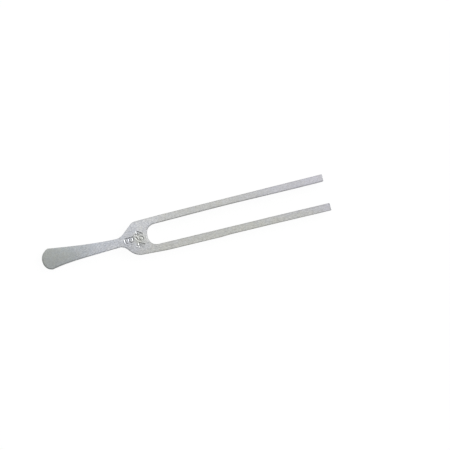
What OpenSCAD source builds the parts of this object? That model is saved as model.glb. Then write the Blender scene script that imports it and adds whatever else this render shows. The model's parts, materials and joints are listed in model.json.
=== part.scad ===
// Tuning fork with a flat, spatula-shaped handle, cut from one aluminium plate.
// It lies flat. +X runs towards the prong tips, +Y towards the left prong, and +Z
// out of the stamped face. The origin is on the underside, in the middle of the yoke.
// All sizes are in millimetres and all angles in degrees.

/* [Plate] */
// Thickness of the yoke and of the prongs
plate_t = 4.5; // [3:0.5:6]
// Thickness of the handle at its round end
handle_end_t = 2.6; // [2:0.2:3]

/* [Prongs] */
// Width of one prong, across the direction it is thick in
prong_w = 2.9; // [2.6:0.1:3.4]
// Length of one prong, from the bottom of the slot to its tip
prong_l = 69.4; // [55:0.1:85]
// Angle that each prong leans outwards
splay = 0.2; // [0:0.1:0.4]
// Radius of the round root that each prong turns on
root_r = 2; // [1.8:0.1:2.2]
// Running gap between a prong's root and its seat in the yoke
root_gap = 0.03; // [0.02:0.01:0.06]

/* [Yoke] */
// Gap between the prongs at their roots, which is also the width of the slot
slot_w = 7.75; // [7:0.25:9]
// Distance from the origin to the bottom of the slot
slot_x = 4; // [3.6:0.1:5]
// Distance from the origin to the neck, where the handle starts
neck_x = 7.7; // [7.5:0.1:9]
// Width of the neck
neck_w = 3.36; // [3:0.02:4]
// Width of the yoke at its shoulders
shoulder_w = 12.9; // [12.4:0.1:13.5]
// Angle of the slanting shoulders to the fork's length
shoulder_angle = 45; // [40:1:50]
// Radius of the hollow between neck and shoulder
hollow_r = 4.7; // [4:0.1:5]
// Radius of the shoulder's outer corner
shoulder_r = 4.1; // [3.5:0.1:4.5]

/* [Handle] */
// Distance from the origin to the end of the handle
handle_x = 36.6; // [32:0.1:42]
// Radius of the handle's round end
handle_r = 4.24; // [3.8:0.02:4.6]
// Distance that the round end sits off the fork's centre line
handle_lean = 0.35; // [0:0.05:0.5]
// Share of the handle's widening that is straight, not flared
handle_straight = 0.54; // [0.2:0.02:0.8]

/* [Pitch mark] */
// Height of the note's letter
letter_h = 3.1; // [2.5:0.1:3.4]
// Height of the figures
figure_h = 2.7; // [2:0.1:2.8]
// Distance between the middles of two figures
figure_step = 2.1; // [1.9:0.1:2.2]
// Width of a punched stroke
stroke_w = 0.44; // [0.3:0.02:0.5]
// Depth of a punched stroke
stroke_depth = 0.25; // [0.15:0.05:0.4]

/* [Hidden] */
$fn = 96;
metal = [0.73, 0.74, 0.75];
curve_steps = 24;
side_steps = 12;

// Where the prongs hang on the yoke
slot_root_x = slot_x + slot_w / 2;
hinge_x = slot_root_x + root_r;
hinge_y = (slot_w + prong_w) / 2;
tip_x = slot_x + prong_l;

// The shoulder is a hollow arc, a slant and a round corner, each tangent to the next
hollow_y = neck_w / 2 + hollow_r;
slant_from = [-neck_x + hollow_r * sin(shoulder_angle),
              hollow_y - hollow_r * cos(shoulder_angle)];
corner_y = shoulder_w / 2 - shoulder_r;
slant_to_y = corner_y + shoulder_r * cos(shoulder_angle);
slant_to_x = slant_from.x + (slant_to_y - slant_from.y) / tan(shoulder_angle);
corner_x = slant_to_x + shoulder_r * sin(shoulder_angle);

// The handle's flank meets its round end a little beyond the middle of the round
handle_c = -handle_x + handle_r;
meeting_angle = 74;
flank_end_y = handle_r * sin(meeting_angle);
flank_end_x = handle_c - handle_r * cos(meeting_angle);
flare_power = 3;

// Where the two rows of the pitch mark stand
letter_at = [-2.85, -0.15];
figures_at = [1.05, -0.4];

// How far a cutting shape reaches beyond the metal that it cuts
over = 1;

function arc_points(centre, r, from, to) =
    [for (i = [0:curve_steps])
        let (a = from + (to - from) * i / curve_steps)
        centre + r * [cos(a), sin(a)]];

function reversed(list) = [for (i = [len(list) - 1:-1:0]) list[i]];

function mirrored(points) = [for (p = reversed(points)) [p.x, -p.y]];

// Half the handle's width, and how far its middle leans, at share t of the way to its end
function flank_y(t) =
    let (flare = handle_straight * t + (1 - handle_straight) * pow(t, flare_power))
    neck_w / 2 + (flank_end_y - neck_w / 2) * flare;
function lean_y(t) = handle_lean * t * t * (3 - 2 * t);

function flank_points(side) =
    [for (i = [0:curve_steps])
        let (t = i / curve_steps)
        [-neck_x + (flank_end_x + neck_x) * t, side * flank_y(t) + lean_y(t)]];

module handle_plan() {
    polygon(concat(flank_points(1), reversed(flank_points(-1))));
    intersection() {
        translate([handle_c, handle_lean]) circle(r = handle_r);
        translate([flank_end_x - handle_r, -2 * handle_r]) square([handle_r, 4 * handle_r]);
    }
}

// Side view of the handle, which thins ever faster towards its end
function thinned(t) = (plate_t - handle_end_t) / 2 * t * t;

module handle_side() {
    length = handle_x - neck_x;
    shares = [for (i = [0:side_steps]) i / side_steps];
    polygon(concat(
        [for (t = shares) [-neck_x - length * t, thinned(t)]],
        [for (t = reversed(shares)) [-neck_x - length * t, plate_t - thinned(t)]]));
}

module handle() {
    color(metal)
    intersection() {
        linear_extrude(plate_t) handle_plan();
        translate([0, 2 * handle_r, 0])
            rotate([90, 0, 0])
            linear_extrude(4 * handle_r) handle_side();
    }
}

// Left edge of the yoke, from the neck to the prong
function yoke_edge() = concat(
    arc_points([-neck_x, hollow_y], hollow_r, -90, -90 + shoulder_angle),
    arc_points([corner_x, corner_y], shoulder_r, 90 + shoulder_angle, 90),
    [[hinge_x, hinge_y + prong_w / 2]]);

module yoke_plan() {
    difference() {
        polygon(concat(yoke_edge(), mirrored(yoke_edge())));
        translate([slot_root_x, 0]) circle(d = slot_w);
        translate([slot_root_x, -slot_w / 2]) square([root_r + over, slot_w]);
        for (side = [-1, 1])
            translate([hinge_x, side * hinge_y]) circle(r = root_r + root_gap);
    }
}

module yoke() {
    color(metal)
    difference() {
        linear_extrude(plate_t) yoke_plan();
        translate([0, 0, plate_t - stroke_depth]) pitch_mark();
    }
}

// One prong, lying along +X from its turning axis
module tine_plan() {
    length = tip_x - hinge_x;
    translate([0, -prong_w / 2]) square([length, prong_w]);
    intersection() {
        circle(r = root_r);
        translate([-root_r, -prong_w / 2]) square([root_r + over, prong_w]);
    }
}

module tine(side) {
    color(metal)
    translate([hinge_x, side * hinge_y, 0])
        rotate([0, 0, side * splay])
        linear_extrude(plate_t) tine_plan();
}

module left_tine() {
    tine(1);
}

module right_tine() {
    tine(-1);
}

// A straight stroke from one point to another, with square ends
module stroke(from, to) {
    run = to - from;
    translate(from)
        rotate([0, 0, atan2(run.y, run.x)])
        translate([-stroke_w / 2, -stroke_w / 2, 0])
        cube([norm(run) + stroke_w, stroke_w, stroke_depth + over]);
}

// A stroke along a circle, from one angle through another
module curved_stroke(centre, r, from, sweep) {
    translate(centre)
        rotate([0, 0, from])
        rotate_extrude(angle = sweep)
        translate([r - stroke_w / 2, 0]) square([stroke_w, stroke_depth + over]);
}

// Each character stands on y = 0 and is centred on x = 0
module letter_b(h) {
    stem_x = -0.3 * h;
    bowl_r = h / 4;
    bowl_x = 0.06 * h;
    stroke([stem_x, 0], [stem_x, h]);
    for (row = [0:2]) stroke([stem_x, row * h / 2], [bowl_x, row * h / 2]);
    for (row = [0:1]) curved_stroke([bowl_x, bowl_r + row * h / 2], bowl_r, -90, 180);
}

module figure_four(h) {
    post_x = 0.13 * h;
    bar_y = 0.3 * h;
    bar_from = [-0.3 * h, bar_y];
    stroke([post_x, 0], [post_x, h]);
    stroke([post_x, h], bar_from);
    stroke(bar_from, [0.3 * h, bar_y]);
}

module figure_nine(h) {
    ring_r = 0.27 * h;
    ring_y = h - ring_r;
    tail_r = 0.68 * h;
    curved_stroke([0, ring_y], ring_r, 0, 360);
    curved_stroke([ring_r - tail_r, ring_y], tail_r, -75, 75);
}

// The note over its pitch in hertz. Both rows are read with the prongs upwards.
module pitch_mark() {
    translate(letter_at) rotate([0, 0, -90]) translate([0, -letter_h / 2, 0]) letter_b(letter_h);
    translate(figures_at) rotate([0, 0, -90]) translate([0, -figure_h / 2, 0]) {
        translate([-figure_step, 0, 0]) figure_four(figure_h);
        figure_nine(figure_h);
        translate([figure_step, 0, 0]) figure_four(figure_h);
    }
}

handle();
yoke();
left_tine();
right_tine();
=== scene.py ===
"""Looks of a flat aluminium tuning fork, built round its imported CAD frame.

The fork lies flat: +X towards the prong tips, +Y towards the left prong and +Z out of the
stamped face. Every length is in metres and every angle in radians, unless its name says so.
"""

import json
import math
from dataclasses import dataclass

import bpy
import numpy as np
from mathutils import Matrix, Vector
from mathutils.geometry import delaunay_2d_cdt


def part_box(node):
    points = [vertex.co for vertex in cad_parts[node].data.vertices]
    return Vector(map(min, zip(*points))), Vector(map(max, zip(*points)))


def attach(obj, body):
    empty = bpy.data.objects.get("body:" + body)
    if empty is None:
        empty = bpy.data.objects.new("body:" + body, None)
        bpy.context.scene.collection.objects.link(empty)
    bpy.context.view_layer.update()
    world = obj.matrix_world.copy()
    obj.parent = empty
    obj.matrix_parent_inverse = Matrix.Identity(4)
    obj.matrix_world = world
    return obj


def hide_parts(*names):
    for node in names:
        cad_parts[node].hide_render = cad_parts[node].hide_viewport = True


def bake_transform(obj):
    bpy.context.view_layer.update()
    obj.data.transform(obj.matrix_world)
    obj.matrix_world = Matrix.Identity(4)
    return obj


MM = 0.001

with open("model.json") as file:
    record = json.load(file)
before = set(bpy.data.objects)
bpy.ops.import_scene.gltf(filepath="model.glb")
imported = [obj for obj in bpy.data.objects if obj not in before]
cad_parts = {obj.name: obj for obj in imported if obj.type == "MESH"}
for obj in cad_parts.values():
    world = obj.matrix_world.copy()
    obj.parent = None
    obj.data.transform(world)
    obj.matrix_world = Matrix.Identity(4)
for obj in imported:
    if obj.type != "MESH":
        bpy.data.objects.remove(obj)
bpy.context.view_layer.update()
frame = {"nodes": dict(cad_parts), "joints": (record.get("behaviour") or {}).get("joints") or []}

# ---------------------------------------------------------------- sizes from the frame

handle_low, handle_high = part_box("handle")
yoke_low, yoke_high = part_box("yoke")
tine_low, tine_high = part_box("left_tine")
hinges = {joint["child"]: Vector(joint["pos_m"]) for joint in frame["joints"]}
hinge = hinges["left_prong"]

END_X = handle_low.x
NECK_X = handle_high.x
ROOT_X = tine_low.x
HINGE_X = hinge.x
TIP_X = tine_high.x
LENGTH = TIP_X - END_X

PLATE_T = yoke_high.z - yoke_low.z
MIDDLE_Z = yoke_low.z + PLATE_T / 2
HANDLE_LEAN = (handle_high.y + handle_low.y) / 2
HANDLE_HALF_W = (handle_high.y - handle_low.y) / 2
YOKE_EDGE_Y = yoke_high.y
PRONG_W = 2 * (YOKE_EDGE_Y - hinge.y)
SLOT_R = hinge.y - PRONG_W / 2
TIP_Y = tine_high.y


def handle_extent(axis, place, reach):
    """How far the CAD handle extends along an axis, within reach of a place along the fork."""
    vertices = frame["nodes"]["handle"].data.vertices
    found = [v.co[axis] for v in vertices if abs(v.co.x - place) < reach]
    return max(found) - min(found)


NECK_HALF_W = handle_extent(1, NECK_X, 0.05 * MM) / 2
END_T = handle_extent(2, END_X, 0.2 * MM)

# ---------------------------------------------------------------- driving shapes

RIM_R = 0.2 * MM            # rounding of every long edge
TIP_CORNER_R = 0.22 * MM    # rounding of the prong tips, seen from above
SHOULDER_Y = 6.45 * MM
SLOT_SQUARENESS = 2.35      # of the slot's bottom: 2 is a circle, and more is squarer

HANDLE_R = 4.2 * MM
MEETING_ANGLE = math.radians(74)    # from the very end of the handle round to its flanks
HANDLE_CROWN = 0.02 * MM
DRESSING = 0.1 * MM         # taken off both faces along the handle's left flank
# Shares of the way to the handle's end: where that is deepest, where it is gone, and its fading
DRESSING_DEEPEST, DRESSING_GONE, DRESSING_FADE = 0.6, 0.92, 0.3


@dataclass
class Side:
    """How one side of the fork was filed. The two sides aren't quite alike."""

    sign: int
    slant: float            # angle of the shoulder's slanting stretch to the fork's length
    hollow_r: float         # radius between neck and shoulder
    corner_r: float         # radius of the shoulder's outer corner
    slide: float            # how far beyond the neck the hollow starts
    swell: float            # extra width outwards on the prong's first stretch
    filed: float            # depth filed off the prong's inner edge, to tune it
    longer: float           # extra length of the prong
    wider: float            # extra width outwards, from the prong's root to its tip
    bent: float             # how far the last stretch of the prong is bent outwards
    neck_y: float           # distance from the fork's middle to the edge of the neck
    straight: float         # share of the handle's widening that is straight, not flared
    flare: float            # power of the flared rest
    squareness: float       # of the handle's end: 2 is a circle, and less is slimmer


LEFT = Side(
    sign=1,
    slant=math.radians(40),
    hollow_r=4.8 * MM,
    corner_r=3.05 * MM,
    slide=0.0,
    swell=0.0,
    filed=0.24 * MM,
    longer=-0.08 * MM,
    wider=-0.1 * MM,
    bent=0.0,
    neck_y=NECK_HALF_W - 0.05 * MM,
    straight=0.34,
    flare=2.0,
    squareness=1.87,
)
RIGHT = Side(
    sign=-1,
    slant=math.radians(50),
    hollow_r=3.9 * MM,
    corner_r=6.0 * MM,
    slide=0.43 * MM,
    swell=0.19 * MM,
    filed=0.05 * MM,
    longer=0.23 * MM,
    wider=0.03 * MM,
    bent=0.08 * MM,
    neck_y=NECK_HALF_W + 0.05 * MM,
    straight=0.59,
    flare=4.5,
    squareness=2.3,
)
SWELL_END_X, SWELL_FADE = 35 * MM, 4 * MM
FILED_X, FILED_REACH = 35 * MM, 31 * MM
BENT_FROM_X = 48 * MM

# Very shallow waves that hand finishing leaves on the flat faces
RIPPLE_LENGTHS_MM = (3.1, 4.3, 5.2, 6.7, 8.5, 11.0, 14.0)
RIPPLE_SLOPE = 0.0022
RIPPLE_SEED = 11

# ---------------------------------------------------------------- driving sizes of the mark

LETTER_H = 3.1 * MM
LETTER_AT = Vector((-2.85 * MM, -0.15 * MM))
FIGURE_H = 2.7 * MM
FIGURE_STEP = 2.1 * MM
MIDDLE_FIGURE_AT = Vector((1.05 * MM, -0.4 * MM))
FIRST_FIGURE_AT = MIDDLE_FIGURE_AT + Vector((0.05 * MM, FIGURE_STEP))
LAST_FIGURE_AT = MIDDLE_FIGURE_AT - Vector((0.04 * MM, FIGURE_STEP))

PUNCH_HALF_W = 0.32 * MM
PUNCH_DEPTH = 0.12 * MM
PUNCH_BLUNT = 0.03 * MM     # how blunt the bottom of a groove is
BURR_H = 0.03 * MM
BURR_W = 0.1 * MM
BURR_AT = 1.25 * PUNCH_HALF_W
PUNCH_REACH = PUNCH_HALF_W + 3 * BURR_W     # from a stroke's middle to where its burr ends
MARK_REACH = 4.5 * MM       # from the mark's middle to beyond its farthest stroke

# ---------------------------------------------------------------- driving sizes of the meshes

EDGE_STEP = 0.3 * MM        # spacing of points along a curved edge
RIM_STEPS = 5
WALL_ROWS = 4
COARSE = 0.42 * MM          # spacing of points on a plain face
FINE = 0.06 * MM            # and round the pitch mark
SAME_PLACE = 1e-7           # points nearer to each other than this are one point

# ---------------------------------------------------------------- driving colours

# Colour of the metal at shares of the way from the handle's end to the tips
TINTS_AND_NECK_HIGHLIGHT = (
    (0.00, (0.69, 0.72, 0.69)),
    (0.10, (0.64, 0.675, 0.68)),
    (0.17, (0.705, 0.735, 0.77)),
    # The lighter, bluer stops round the neck, at 0.22 and 0.27, are a painted highlight
    (0.22, (0.77, 0.80, 0.86)),
    (0.27, (0.79, 0.81, 0.86)),
    (0.31, (0.72, 0.735, 0.775)),
    (0.345, (0.755, 0.77, 0.805)),
    (0.42, (0.74, 0.745, 0.735)),
    (0.65, (0.71, 0.715, 0.695)),
    (0.82, (0.70, 0.70, 0.73)),
    (1.00, (0.72, 0.715, 0.775)),
)
# Middle of a painted sheen: a lighter patch on the yoke, towards its left shoulder
PAINTED_SHEEN_AT = Vector((4.2 * MM, 5.6 * MM, PLATE_T))
TARNISH_AT = Vector((*MIDDLE_FIGURE_AT, PLATE_T))
RIM_FADE = 0.45 * MM        # how far the painted edge shade and the smoother edge reach into a face

# Each of these goes from its first number to its second, as something goes from the third to
# the fourth. Here that is the share of the way along the fork
HANDLE_WEAR = (0.85, 1.75, 0.05, 0.3)
PRONG_WEAR = (1.0, 0.54, 0.35, 0.45)
WARM_SHIFT = (-0.06, 0.2, 0.33, 0.95)
WARM_SHIFT_AT_TIP = (1.0, 0.0, 0.95, 0.99)
# Here it is a place along the fork, or across it
# Painted shade, darker over the last half millimetre of each prong's tip
PAINTED_TIP_SHADE = (0.0, 0.22, TIP_X - 0.5 * MM, TIP_X)
WARM_RIGHT = (0.0, 0.03, 0.0, ROOT_X)
# Painted light: the left side lighter and the right side darker, as the light falls across
PAINTED_SIDE_LIGHT = (0.96, 1.03, -TIP_Y, TIP_Y)
# Here it is a distance, from the middle of the painted sheen and from the figures
# Painted sheen, lighter near its middle and fading out
PAINTED_SHEEN_FADE = (1.1, 1.0, 3 * MM, 11 * MM)
TARNISH_BLUE = (0.92, 1.0, 1.2 * MM, 3.4 * MM)
# Here it is 1 on the right side, at the very edge of a face, and in the middle of a groove
RIGHT_SANDING = (0.85, 1.1, 0.0, 1.0)
# Painted shade, darker along the long edges
PAINTED_EDGE_SHADE = (0.0, 0.24, 0.35, 0.95)
# Painted shade, darker towards the middle of each groove of the mark
PAINTED_GROOVE_SHADE = (1.0, 0.68, 0.5, 1.0)

# ---------------------------------------------------------------- driving sizes of the studio

PICTURE_WIDTH = 1.536       # width of the picture, in lengths of the fork
AIM_AHEAD = 0.137           # how far the picture's middle is from the fork's, in such lengths
AIM_ASIDE = -0.027
CAMERA_TILT = math.radians(0.7)
CAMERA_TURN = math.radians(13.8)
LENS_MM, SENSOR_MM = 100, 36

FLOOR_REACH = 40            # in lengths of the fork
FLOOR_GAP = 0.02 * MM
FLOOR_PAINT = 0.92
SHADOW_SHARE = 0.12         # how much of the floor's shadows the camera sees
FLOOR_GLOW = 0.934
BACKDROP = 1.0
SKY_SIDE = Vector((0.8, 0.6, 0))
SKY_DIM_AT, SKY_BRIGHT_AT = -0.365, -0.125
SKY_DIM, SKY_BRIGHT = 0.05, 0.78
SKY_LOW = 0.6
SKY_LOW_AT, SKY_HIGH_AT = 0.45, 0.72
PANEL = Vector((0.8, 0.15, 0.56))
PANEL_REACH = math.radians(24)
PANEL_BRIGHT = 2.4

# ---------------------------------------------------------------- outlines


def arc(centre, radius, start, end):
    """Points along an arc, about EDGE_STEP apart, both ends included."""
    count = max(3, round(abs(end - start) * radius / EDGE_STEP))
    turns = np.linspace(start, end, count + 1)
    return [(centre[0] + radius * math.cos(a), centre[1] + radius * math.sin(a)) for a in turns]


def line(start, end):
    """Points along a straight edge, both ends included."""
    count = max(1, round(math.dist(start, end) / (2 * EDGE_STEP)))
    run_x, run_y = end[0] - start[0], end[1] - start[1]
    return [(start[0] + run_x * s, start[1] + run_y * s) for s in np.linspace(0, 1, count + 1)]


def joined(*runs):
    """One list of points from several, without the doubles where two runs meet."""
    points = []
    for run in runs:
        for p in run:
            if not points or math.dist(p, points[-1]) > SAME_PLACE:
                points.append(p)
    return points


def on_side(side, points):
    """Edge points drawn for the left side, as they run on the given side."""
    return points if side.sign > 0 else [(x, -y) for x, y in reversed(points)]


def smooth(t):
    """From 0 to 1 as t does, starting and ending gently."""
    t = np.clip(t, 0, 1)
    return t * t * (3 - 2 * t)


def swell(side, x):
    """Extra width of a prong's outer edge, which ends where the rest was filed down."""
    return side.swell * smooth((SWELL_END_X - x) / SWELL_FADE)


def bent(side, x):
    """How far outwards a prong is bent, more and more towards its tip."""
    return side.bent * smooth((x - BENT_FROM_X) / (TIP_X - BENT_FROM_X))


def filed(side, x):
    """How much was filed off the inner edge of a prong."""
    return side.filed * smooth(1 - abs(x - FILED_X) / FILED_REACH)


def squared(x, y, radius, squareness):
    """A point of a circle round the origin, moved onto a squarer or slimmer round."""
    n = squareness
    stretch = (abs(x / radius) ** n + abs(y / radius) ** n) ** (-1 / n)
    return x * stretch, y * stretch


def round_end():
    """The handle's round end, from its left flank to its right one."""
    points = []
    for x, y in arc((0, 0), HANDLE_R, math.pi - MEETING_ANGLE, math.pi + MEETING_ANGLE):
        x, y = squared(x, y, HANDLE_R, (LEFT if y > 0 else RIGHT).squareness)
        points.append((END_X + HANDLE_R + x, HANDLE_LEAN + y))
    return points


def flank(side, far_x, far_y):
    """One flank of the handle, from the neck to where it meets the round end."""
    widening = side.sign * (far_y - HANDLE_LEAN) - side.neck_y
    points = []
    for t in np.linspace(0, 1, round((NECK_X - far_x) / (2 * EDGE_STEP)) + 1):
        flare = side.straight * t + (1 - side.straight) * t**side.flare
        y = side.sign * (side.neck_y + widening * flare) + HANDLE_LEAN * smooth(t)
        points.append((NECK_X + (far_x - NECK_X) * t, y))
    return points


def handle_edge():
    """Round the handle, from the left of the neck to the right."""
    end = round_end()
    return joined(flank(LEFT, *end[0]), end, reversed(flank(RIGHT, *end[-1])))


def shoulder(side):
    """One edge of the yoke, between the prong's root and the neck."""
    slant = side.slant
    hollow_x, hollow_y = NECK_X + side.slide, side.neck_y + side.hollow_r
    slant_x = hollow_x + side.hollow_r * math.sin(slant)
    slant_y = hollow_y - side.hollow_r * math.cos(slant)
    corner_y = SHOULDER_Y - side.corner_r
    rise = corner_y + side.corner_r * math.cos(slant) - slant_y
    corner_x = slant_x + rise / math.tan(slant) + side.corner_r * math.sin(slant)
    share = (ROOT_X - corner_x) / (HINGE_X - corner_x)
    hinge_y = YOKE_EDGE_Y + side.wider + swell(side, HINGE_X)
    root_y = SHOULDER_Y + (hinge_y - SHOULDER_Y) * share
    quarter = math.pi / 2
    return on_side(side, joined(
        line((ROOT_X, root_y), (corner_x, SHOULDER_Y)),
        arc((corner_x, corner_y), side.corner_r, quarter, quarter + slant),
        arc((hollow_x, hollow_y), side.hollow_r, -quarter + slant, -quarter),
        [(NECK_X, side.neck_y)],
    ))


def slot_end():
    """The round bottom of the slot, from the right prong to the left one."""
    points = arc((0, 0), SLOT_R, 3 * math.pi / 2, math.pi / 2)
    rounds = [squared(x, y, SLOT_R, SLOT_SQUARENESS) for x, y in points]
    return [(ROOT_X + x, y) for x, y in rounds]


def prong_edge(side):
    """Round one prong, from its root to its tip and back."""
    tip_x, tip_y = TIP_X + side.longer, TIP_Y + side.wider
    inner_tip_y = TIP_Y - PRONG_W
    r = TIP_CORNER_R
    inner = line((HINGE_X, SLOT_R), (tip_x - r, inner_tip_y))
    outer = line((tip_x - r, tip_y), (HINGE_X, YOKE_EDGE_Y + side.wider))
    root_outer = [(x, abs(y)) for x, y in shoulder(side) if abs(x - ROOT_X) < SAME_PLACE]
    points = joined(
        [(ROOT_X, SLOT_R)],
        [(x, y + filed(side, x)) for x, y in inner],
        arc((tip_x - r, inner_tip_y + r), r, -math.pi / 2, 0),
        arc((tip_x - r, tip_y - r), r, 0, math.pi / 2),
        [(x, y + swell(side, x)) for x, y in outer],
        root_outer,
    )
    return on_side(side, [(x, y + bent(side, x)) for x, y in points])


# ---------------------------------------------------------------- pitch mark
# Each character stands on y = 0 and is centred on x = 0. Its strokes are lines, with a start
# and an end, and arcs, with a centre, a radius, a start and a sweep.


def letter_b(h):
    stem, bowl_x, bowl_r = -0.3 * h, 0.06 * h, h / 4
    strokes = [("line", (stem, 0), (stem, h))]
    strokes += [("line", (stem, row * h / 2), (bowl_x, row * h / 2)) for row in range(3)]
    strokes += [
        ("arc", (bowl_x, bowl_r + row * h / 2), bowl_r, -math.pi / 2, math.pi) for row in range(2)
    ]
    return strokes


def figure_four(h):
    post, bar, reach = 0.13 * h, 0.3 * h, 0.3 * h
    return [
        ("line", (post, 0), (post, h)),
        ("line", (post, h), (-reach, bar)),
        ("line", (-reach, bar), (reach, bar)),
    ]


def figure_nine(h):
    ring, tail = 0.27 * h, 0.68 * h
    return [
        ("arc", (0, h - ring), ring, 0, 2 * math.pi),
        ("arc", (ring - tail, h - ring), tail, math.radians(-75), math.radians(75)),
    ]


@dataclass
class Character:
    """One character of the mark, as it was struck: a little turned, and harder or softer."""

    strokes: list
    height: float
    place: Vector
    turn: float
    strength: float


MARK = (
    Character(letter_b(LETTER_H), LETTER_H, LETTER_AT, math.radians(2), 1.0),
    Character(figure_four(FIGURE_H), FIGURE_H, FIRST_FIGURE_AT, math.radians(-2), 0.95),
    Character(figure_nine(FIGURE_H), FIGURE_H, MIDDLE_FIGURE_AT, math.radians(1), 0.85),
    Character(figure_four(FIGURE_H), FIGURE_H, LAST_FIGURE_AT, math.radians(3), 1.1),
)


def line_distance(points, start, end):
    """Distance from each point to a straight line between two others."""
    a, d = np.array(start), np.subtract(end, start)
    t = np.clip(((points - a) @ d) / (d @ d), 0, 1)
    return np.linalg.norm(points - a - t[:, None] * d, axis=1)


def arc_distance(points, centre, radius, start, sweep):
    """Distance from each point to an arc."""
    q = points - np.array(centre)
    turn = (np.arctan2(q[:, 1], q[:, 0]) - start) % (2 * math.pi)
    ring = np.abs(np.linalg.norm(q, axis=1) - radius)
    ends = [radius * np.array((math.cos(a), math.sin(a))) for a in (start, start + sweep)]
    to_ends = np.minimum(*(np.linalg.norm(q - e, axis=1) for e in ends))
    return np.where(turn <= sweep, ring, to_ends)


def punch_distance(points):
    """Distance from each point to the nearest stroke's middle, and how hard that was struck."""
    nearest = np.full(len(points), 1.0)
    force = np.ones(len(points))
    for character in MARK:
        c, s = math.cos(character.turn), math.sin(character.turn)
        across = (points - np.array(character.place)) @ np.array(((c, -s), (s, c)))
        # Characters are read with the prongs upwards: up is +X and right is -Y
        local = np.stack((-across[:, 1], across[:, 0] + character.height / 2), axis=1)
        for kind, *shape in character.strokes:
            d = (line_distance if kind == "line" else arc_distance)(local, *shape)
            force = np.where(d < nearest, character.strength, force)
            nearest = np.minimum(nearest, d)
    return nearest, force


def punch_height(points):
    """How far the punch moved the face: a V-shaped groove with a low burr on both sides."""
    d, force = punch_distance(points)
    softened = np.sqrt(d * d + PUNCH_BLUNT**2)
    groove = np.clip(1 - softened / PUNCH_HALF_W, 0, None) * PUNCH_DEPTH * force
    burr = BURR_H * np.exp(-(((d - BURR_AT) / BURR_W) ** 2))
    return burr * force - groove


# ---------------------------------------------------------------- faces
# Each gives the height of a face above or below the middle of the plate, at points in plan

ripple_rng = np.random.default_rng(RIPPLE_SEED)
RIPPLES = [
    (ripple_rng.uniform(0, 2 * math.pi), ripple_rng.uniform(0, 2 * math.pi), length * MM)
    for length in RIPPLE_LENGTHS_MM
]


def ripple(points):
    height = np.zeros(len(points))
    for heading, phase, length in RIPPLES:
        along = points @ np.array((math.cos(heading), math.sin(heading)))
        k = 2 * math.pi / length
        height += RIPPLE_SLOPE / k * np.sin(along * k + phase)
    return height


def flat_face(points):
    return PLATE_T / 2 + ripple(points)


def stamped_face(points):
    return flat_face(points) + punch_height(points)


def handle_face(points):
    """The handle thins ever faster towards its end and is a little crowned across."""
    t = np.clip((NECK_X - points[:, 0]) / (NECK_X - END_X), 0, 1)
    thinned = (PLATE_T - END_T) / 2 * t * t
    off_centre = (points[:, 1] - HANDLE_LEAN * smooth(t)) / HANDLE_HALF_W
    dressed = smooth(t / DRESSING_DEEPEST) * smooth((DRESSING_GONE - t) / DRESSING_FADE)
    dressed *= np.clip(off_centre, 0, None) ** 2
    return flat_face(points) - thinned - HANDLE_CROWN * t * off_centre**2 - DRESSING * dressed


# ---------------------------------------------------------------- meshes


def inset_moves(base, is_cut):
    """For each corner of an outline, the move that shifts the edges beside it in by 1.

    is_cut says which edges are cuts through solid metal: those stay where they are.
    """
    runs = np.roll(base, -1, axis=0) - base
    outward = np.stack((runs[:, 1], -runs[:, 0]), axis=1)
    outward /= np.linalg.norm(runs, axis=1)[:, None]
    before, cut_before = np.roll(outward, 1, axis=0), np.roll(is_cut, 1)
    moves = -(before + outward) / (1 + np.sum(before * outward, axis=1))[:, None]
    for corner in np.flatnonzero(is_cut | cut_before):
        sides = np.array((before[corner], outward[corner]))
        shifts = (0 if cut_before[corner] else -1, 0 if is_cut[corner] else -1)
        moves[corner] = np.linalg.solve(sides, shifts)
    return moves


def inside(points, loop):
    """Which points lie inside a closed loop."""
    found = np.zeros(len(points), bool)
    x, y = points[:, 0], points[:, 1]
    for (ax, ay), (bx, by) in zip(loop, np.roll(loop, -1, axis=0)):
        crosses = (ay > y) != (by > y)
        if crosses.any():
            where = ax + (y - ay) * (bx - ax) / (by - ay)
            found ^= crosses & (x < where)
    return found


def edge_distance(points, loop, is_cut):
    """Distance from each point to the real edges of a closed loop: its cuts don't count."""
    nearest = np.full(len(points), 1.0)
    for start, end, cut in zip(loop, np.roll(loop, -1, axis=0), is_cut):
        if not cut:
            nearest = np.minimum(nearest, line_distance(points, start, end))
    return nearest


def grid(low, high, step):
    """Points in staggered rows over a rectangle."""
    rows = np.arange(low[1], high[1], step * math.sqrt(3) / 2)
    columns = np.arange(low[0], high[0], step)
    points = [(x + (i % 2) * step / 2, y) for i, y in enumerate(rows) for x in columns]
    return np.array(points)


def face_points(loop, stamped):
    """Points to mesh a face with: close together only round the pitch mark."""
    points = grid(loop.min(axis=0), loop.max(axis=0), COARSE)
    if stamped:
        points = points[punch_distance(points)[0] > PUNCH_REACH + COARSE / 2]
        middle = np.array(MIDDLE_FIGURE_AT + LETTER_AT) / 2
        dense = grid(middle - MARK_REACH, middle + MARK_REACH, FINE)
        points = np.vstack((points, dense[punch_distance(dense)[0] < PUNCH_REACH]))
    points = points[inside(points, loop)]
    no_cuts = np.zeros(len(loop), bool)
    return points[edge_distance(points, loop, no_cuts) > COARSE / 2]


def fill(loop, extra):
    """Triangles over a loop and the points inside it, as numbers into both lists together."""
    points = [Vector(p / MM) for p in np.vstack((loop, extra))]
    border = list(range(len(loop)))
    made, _, triangles, origin, _, owners = delaunay_2d_cdt(points, [], [border], 0, 1e-6, True)
    assert len(made) == len(points), "the outline folds back on itself"
    return [[origin[i][0] for i in t] for t, owner in zip(triangles, owners) if owner]


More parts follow.
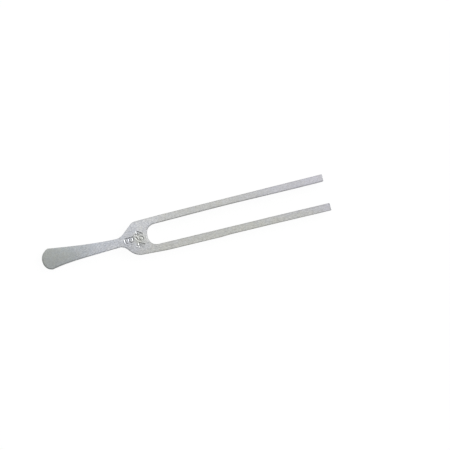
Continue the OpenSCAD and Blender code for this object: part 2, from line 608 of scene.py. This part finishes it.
def rim_rings(base, moves, face, sign):
    """The rounded long edge of one face, as rings of points from the wall to the face."""
    rings = []
    for turn in np.linspace(0, math.pi / 2, RIM_STEPS + 1):
        at = base + moves * RIM_R * (1 - math.cos(turn))
        height = face(at) - RIM_R * (1 - math.sin(turn))
        rings.append(np.column_stack((at, MIDDLE_Z + sign * height)))
    return rings


def side_rings(base, moves, upper, lower):
    """Rings of points round a plate, from the border of its lower face to that of the upper."""
    below = rim_rings(base, moves, lower, -1)[::-1]
    above = rim_rings(base, moves, upper, 1)
    shares = np.linspace(0, 1, WALL_ROWS + 2)[1:-1]
    wall = [below[-1] * (1 - s) + above[0] * s for s in shares]
    return below + wall + above


def side_faces(rings, count):
    """Faces between each ring of points and the next, as numbers into all of their points."""
    faces = []
    for ring in range(rings - 1):
        start, top = ring * count, (ring + 1) * count
        for i in range(count):
            j = (i + 1) % count
            faces.append((start + i, start + j, top + j, top + i))
    return faces


def plate(name, edges, upper, lower, stamped=False):
    """A closed solid between two faces, with its long edges rounded.

    edges are the runs of real edge, anticlockwise. Between one run and the next is a cut, where
    the metal goes on in another piece.
    """
    base = np.vstack(edges)
    count = len(base)
    is_cut = np.zeros(count, bool)
    is_cut[np.cumsum([len(run) for run in edges]) - 1] = True
    rings = side_rings(base, inset_moves(base, is_cut), upper, lower)
    points, faces = np.vstack(rings), side_faces(len(rings), count)
    for ring, sign, face in ((0, -1, lower), (len(rings) - 1, 1, upper)):
        loop = rings[ring][:, :2]
        extra = face_points(loop, stamped and sign > 0)
        numbers = [*range(ring * count, (ring + 1) * count)]
        numbers += range(len(points), len(points) + len(extra))
        points = np.vstack((points, np.column_stack((extra, MIDDLE_Z + sign * face(extra)))))
        faces += [[numbers[i] for i in triangle[::sign]] for triangle in fill(loop, extra)]

    mesh = bpy.data.meshes.new(name)
    mesh.from_pydata(points.tolist(), [], faces)
    mesh.shade_smooth()
    sharpen_cuts(mesh, is_cut, len(rings))
    plan = points[:, :2]
    store(mesh, "rim", np.exp(-edge_distance(plan, base, is_cut) / RIM_FADE))
    if stamped:
        nearness = np.clip(1 - punch_distance(plan)[0] / PUNCH_HALF_W, 0, 1)
        store(mesh, "punch", np.where(points[:, 2] > MIDDLE_Z, nearness, 0))
    made = bpy.data.objects.new(name, mesh)
    bpy.context.scene.collection.objects.link(made)
    return made


def store(mesh, name, values):
    """Keeps one number for each point, for the material to read."""
    attribute = mesh.attributes.new(name, "FLOAT", "POINT")
    attribute.data.foreach_set("value", values.astype(np.float32))


def sharpen_cuts(mesh, is_cut, rings):
    """Marks each cut's border sharp, so that the cut doesn't bend the shading beside it."""
    count = len(is_cut)
    border = set()
    for i in np.flatnonzero(is_cut):
        j = (i + 1) % count
        for side in (i, j):
            column = [ring * count + side for ring in range(rings)]
            border |= {frozenset(pair) for pair in zip(column, column[1:])}
        border |= {frozenset((ring * count + i, ring * count + j)) for ring in (0, rings - 1)}
    sharp = mesh.attributes.new("sharp_edge", "BOOLEAN", "EDGE")
    for edge in mesh.edges:
        sharp.data[edge.index].value = frozenset(edge.vertices) in border


# ---------------------------------------------------------------- nodes


def add_node(tree, kind, inputs=None, **settings):
    """Adds a node, with each input set to a value or joined to another node's output."""
    made = tree.nodes.new("ShaderNode" + kind)
    for key, value in settings.items():
        setattr(made, key, value)
    for key, value in (inputs or {}).items():
        if isinstance(value, bpy.types.NodeSocket):
            tree.links.new(value, made.inputs[key])
        else:
            made.inputs[key].default_value = value
    return made


class Surface:
    """A material's node tree, with a short method for each kind of thing that it works out."""

    def __init__(self, name):
        self.material = bpy.data.materials.new(name)
        self.material.use_nodes = True
        self.tree = self.material.node_tree
        self.tree.nodes.clear()
        self.place = self.add("TexCoord").outputs["Object"]

    def add(self, kind, inputs=None, **settings):
        return add_node(self.tree, kind, inputs, **settings)

    def noise(self, size, detail=2.0, length=1.0, turn=0.0):
        """Noise with lumps of a size, drawn out by a factor at an angle to the fork's length."""
        stretch = {"Scale": (size * length, size, size), "Rotation": (0, 0, turn)}
        mapped = self.add("Mapping", {"Vector": self.place, **stretch}, vector_type="TEXTURE")
        inputs = {"Vector": mapped.outputs["Vector"], "Scale": 1.0, "Detail": detail}
        return self.add("TexNoise", inputs).outputs["Fac"]

    def fade(self, value, low, high, start=0.3, end=0.7):
        """From low to high, as a value goes from start to end. Most noise is in 0.3 to 0.7."""
        shares = {"From Min": start, "From Max": end, "To Min": low, "To Max": high}
        return self.add("MapRange", {"Value": value, **shares}).outputs["Result"]

    def maths(self, operation, a, b):
        return self.add("Math", {0: a, 1: b}, operation=operation).outputs["Value"]

    def times(self, a, b):
        return self.maths("MULTIPLY", a, b)

    def distance(self, point):
        """Distance to a fixed point."""
        measured = self.add("VectorMath", {0: self.place, 1: point}, operation="DISTANCE")
        return measured.outputs["Value"]

    def stored(self, name):
        """The number that the mesh keeps for each point under a name."""
        return self.add("Attribute", attribute_name=name).outputs["Fac"]


# ---------------------------------------------------------------- material


class SatinAluminium(Surface):
    """Satin aluminium with fine sanding marks, and faint warm and cool tints along the fork.

    keen is how strongly the grain shows: most on the yoke's faces, and less where wear has
    smoothed the handle and the prongs. sawn is how strongly the saw's lines show: most on the
    side walls.
    """

    def __init__(self):
        super().__init__("satin_aluminium")
        self.cloud = self.noise(6 * MM, 3)
        self.warmth = self.noise(1.3 * MM)
        self.mottle = self.noise(0.9 * MM, 3)
        self.grain = self.noise(0.3 * MM)
        self.sanded = self.noise(0.2 * MM, length=3, turn=math.radians(-14))
        self.crossed = self.noise(0.18 * MM, length=4, turn=math.radians(40))
        self.speck = self.noise(0.07 * MM, 1)
        self.lines = self.noise(0.12 * MM, length=30)

        axes = self.add("SeparateXYZ", {"Vector": self.place})
        self.x, self.y = axes.outputs["X"], axes.outputs["Y"]
        self.right = self.fade(self.y, 1.0, 0.0, -TIP_Y, 0.0)
        self.along = self.share_along()
        normal = self.add("NewGeometry").outputs["True Normal"]
        upright = self.add("SeparateXYZ", {"Vector": normal}).outputs["Z"]
        self.on_face = self.fade(self.maths("ABSOLUTE", upright, 0.0), 0.0, 1.0, 0.2, 0.8)
        worn = self.times(self.fade(self.along, *HANDLE_WEAR), self.fade(self.along, *PRONG_WEAR))
        self.keen = self.times(worn, self.walls_to_faces(0.35, 1.0))
        self.sawn = self.walls_to_faces(3.0, 1.0)

        surface = self.add("BsdfPrincipled", {
            "Base Color": self.colour(),
            "Metallic": 1.0,
            "Roughness": self.roughness(),
            "Normal": self.bumps(),
        })
        self.add("OutputMaterial", {"Surface": surface.outputs["BSDF"]})

    def walls_to_faces(self, on_walls, on_faces):
        """One value on the side walls and another on the faces."""
        return self.fade(self.on_face, on_walls, on_faces, 0, 1)

    def share_along(self):
        """Share of the way along the fork at which the tint of each spot is taken.

        The warm stretch starts nearer the handle and ends nearer the tip on the right prong.
        """
        along = self.fade(self.x, 0.0, 1.0, END_X, TIP_X)
        late = self.times(self.right, self.fade(along, *WARM_SHIFT))
        late = self.times(late, self.fade(along, *WARM_SHIFT_AT_TIP))
        along = self.maths("SUBTRACT", along, late)
        return self.maths("ADD", along, self.fade(self.cloud, -0.03, 0.03))

    def painted_edge_shade(self):
        """Painted shade: how much darker the long edges and the tips are."""
        edge = self.times(self.fade(self.stored("rim"), *PAINTED_EDGE_SHADE), self.walls_to_faces(0.4, 1.0))
        return self.maths("ADD", edge, self.fade(self.x, *PAINTED_TIP_SHADE))

    def shade(self):
        """How light the metal is: patterns, and painted light, sheen and shade at grooves and
        edges.
        """
        patterns = (
            (self.mottle, 0.15, self.keen),
            (self.sanded, 0.9, self.times(self.keen, self.fade(self.right, *RIGHT_SANDING))),
            (self.crossed, 0.35, self.keen),
            (self.grain, 0.25, self.keen),
            (self.lines, 0.12, self.sawn),
            (self.cloud, 0.12, 1.0),
        )
        # Painted light: lighter towards the left side, darker towards the right
        shade = self.fade(self.y, *PAINTED_SIDE_LIGHT)
        for value, depth, strength in patterns:
            swing = self.times(self.maths("SUBTRACT", value, 0.5), depth)
            shade = self.times(shade, self.maths("ADD", self.times(swing, strength), 1.0))
        # A painted sheen: lighter round a spot on the yoke
        shade = self.times(shade, self.fade(self.distance(PAINTED_SHEEN_AT), *PAINTED_SHEEN_FADE))
        # Painted shade in the grooves of the mark
        shade = self.times(shade, self.fade(self.stored("punch"), *PAINTED_GROOVE_SHADE))
        # Painted shade along the long edges and at the tips
        return self.times(shade, self.maths("SUBTRACT", 1.0, self.painted_edge_shade()))

    def blueness(self):
        """How blue the metal is: less so in warm spots, round the figures and on the right."""
        warm_right = self.times(self.right, self.fade(self.x, *WARM_RIGHT))
        blue = self.fade(self.warmth, 1.025, 0.975)
        blue = self.times(blue, self.maths("SUBTRACT", 1.0, warm_right))
        return self.times(blue, self.fade(self.distance(TARNISH_AT), *TARNISH_BLUE))

    def colour(self):
        """The tint of each spot, with a painted highlight round the neck, shaded and with a faint
        cast.
        """
        tint = self.add("ValToRGB", {"Fac": self.along})
        stops = tint.color_ramp.elements
        while len(stops) < len(TINTS_AND_NECK_HIGHLIGHT):
            stops.new(0)
        for stop, (share, colour) in zip(stops, TINTS_AND_NECK_HIGHLIGHT):
            stop.position = share
            stop.color = (*colour, 1)
        inputs = {0: tint.outputs["Color"], "Scale": self.shade()}
        shaded = self.add("VectorMath", inputs, operation="SCALE")
        redness = self.fade(self.warmth, 0.99, 1.01)
        cast = self.add("CombineXYZ", {0: redness, 1: 1.0, 2: self.blueness()})
        inputs = {0: shaded.outputs["Vector"], 1: cast.outputs["Vector"]}
        return self.add("VectorMath", inputs, operation="MULTIPLY").outputs["Vector"]

    def roughness(self):
        """Uneven over the faces, and smoother along the edges."""
        rough = self.fade(self.mottle, 0.3, 0.36)
        rough = self.maths("ADD", rough, self.fade(self.grain, -0.04, 0.04))
        return self.maths("SUBTRACT", rough, self.times(self.stored("rim"), 0.05))

    def bumps(self):
        """The normal, bent by one pattern after another."""
        normal = None
        for value, height_mm, strength in (
            (self.mottle, 0.008, self.keen),
            (self.sanded, 0.004, self.keen),
            (self.crossed, 0.003, self.keen),
            (self.grain, 0.004, self.keen),
            (self.lines, 0.002, self.sawn),
            (self.speck, 0.001, self.keen),
        ):
            inputs = {"Height": value, "Strength": strength, "Distance": height_mm * MM}
            if normal:
                inputs["Normal"] = normal
            normal = self.add("Bump", inputs).outputs["Normal"]
        return normal


# ---------------------------------------------------------------- the fork


def finish_piece(piece, node, material):
    piece.data.materials.append(material)
    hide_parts(node)


def build_fork():
    metal = SatinAluminium().material

    handle = plate("handle_body", [handle_edge()], handle_face, handle_face)
    finish_piece(handle, "handle", metal)
    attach(handle, "stem")

    yoke_edges = [shoulder(RIGHT), slot_end(), shoulder(LEFT)]
    yoke = plate("yoke_body", yoke_edges, stamped_face, flat_face, stamped=True)
    finish_piece(yoke, "yoke", metal)
    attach(yoke, "stem")

    for name, side in (("left", LEFT), ("right", RIGHT)):
        prong = plate(f"{name}_prong_body", [prong_edge(side)], flat_face, flat_face)
        finish_piece(prong, f"{name}_tine", metal)
        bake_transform(prong)


# ---------------------------------------------------------------- studio


def pale_floor():
    """The camera sees it white with faint shadows, and the metal reflects it without the glow."""
    material = bpy.data.materials.new("pale_floor")
    material.use_nodes = True
    tree = material.node_tree
    shader = tree.nodes["Principled BSDF"]
    shader.inputs["Roughness"].default_value = 1
    shader.inputs["Specular IOR Level"].default_value = 0
    shader.inputs["Emission Color"].default_value = (1, 1, 1, 1)
    seen = add_node(tree, "LightPath").outputs["Is Camera Ray"]
    faint = {0: seen, 2: FLOOR_PAINT, 3: FLOOR_PAINT * SHADOW_SHARE}
    paint = add_node(tree, "Mix", faint, data_type="FLOAT").outputs[0]
    glow = add_node(tree, "Math", {0: seen, 1: FLOOR_GLOW}, operation="MULTIPLY").outputs[0]
    tree.links.new(paint, shader.inputs["Base Color"])
    tree.links.new(glow, shader.inputs["Emission Strength"])
    return material


def build_floor():
    reach = FLOOR_REACH * LENGTH
    height = yoke_low.z - FLOOR_GAP
    corners = [(x * reach, y * reach, height) for x, y in ((-1, -1), (1, -1), (1, 1), (-1, 1))]
    mesh = bpy.data.meshes.new("floor")
    mesh.from_pydata(corners, [], [(0, 1, 2, 3)])
    mesh.materials.append(pale_floor())
    floor = bpy.data.objects.new("floor", mesh)
    bpy.context.scene.collection.objects.link(floor)


def build_sky():
    """A soft white sky, dimmer to one side and low down, with a bright panel on the other.

    The backdrop that the camera sees is as pale as the floor.
    """
    world = bpy.data.worlds.new("studio")
    bpy.context.scene.world = world
    world.use_nodes = True
    tree = world.node_tree
    direction = add_node(tree, "TexCoord").outputs["Generated"]

    def towards(goal, start, end, low, high):
        """Brightness that goes smoothly from low to high as the direction nears the goal."""
        inputs = {0: direction, 1: goal.normalized()}
        near = add_node(tree, "VectorMath", inputs, operation="DOT_PRODUCT").outputs["Value"]
        inputs = {"Value": near, "From Min": start, "From Max": end, "To Min": low, "To Max": high}
        return add_node(tree, "MapRange", inputs, interpolation_type="SMOOTHSTEP").outputs["Result"]

    overhead = towards(SKY_SIDE, SKY_DIM_AT, SKY_BRIGHT_AT, SKY_DIM, SKY_BRIGHT)
    height = towards(Vector((0, 0, 1)), SKY_LOW_AT, SKY_HIGH_AT, 0.0, 1.0)
    panel = towards(PANEL, math.cos(PANEL_REACH), math.cos(PANEL_REACH / 2), 0.0, PANEL_BRIGHT)
    sky = add_node(tree, "Mix", {0: height, 2: SKY_LOW, 3: overhead}, data_type="FLOAT").outputs[0]
    sky = add_node(tree, "Math", {0: sky, 1: panel}, operation="ADD").outputs[0]
    seen = add_node(tree, "LightPath").outputs["Is Camera Ray"]
    strength = add_node(tree, "Mix", {0: seen, 2: sky, 3: BACKDROP}, data_type="FLOAT").outputs[0]
    tree.links.new(strength, tree.nodes["Background"].inputs["Strength"])
    tree.nodes["Background"].inputs["Color"].default_value = (1, 1, 1, 1)


def add_camera():
    """Looks almost straight down, with the fork's length turned a little up to the right."""
    data = bpy.data.cameras.new("camera")
    data.lens, data.sensor_width = LENS_MM, SENSOR_MM
    data.clip_start, data.clip_end = 0.01, 10
    camera = bpy.data.objects.new("camera", data)
    bpy.context.scene.collection.objects.link(camera)
    middle = Vector(((TIP_X + END_X) / 2, 0, PLATE_T))
    target = middle + Vector((AIM_AHEAD * LENGTH, AIM_ASIDE * LENGTH, 0))
    distance = PICTURE_WIDTH * LENGTH / SENSOR_MM * LENS_MM

    along = Vector((1, 0, 0))
    back = Vector((0, -math.sin(CAMERA_TILT), math.cos(CAMERA_TILT)))
    ahead = back.cross(along)
    right = math.cos(CAMERA_TURN) * along - math.sin(CAMERA_TURN) * ahead
    upward = math.sin(CAMERA_TURN) * along + math.cos(CAMERA_TURN) * ahead
    turn = Matrix((right, upward, back)).transposed().to_4x4()
    camera.matrix_world = Matrix.Translation(target + back * distance) @ turn
    bpy.context.scene.camera = camera


build_fork()
build_floor()
build_sky()
add_camera()
bpy.context.scene.view_settings.view_transform = "Standard"
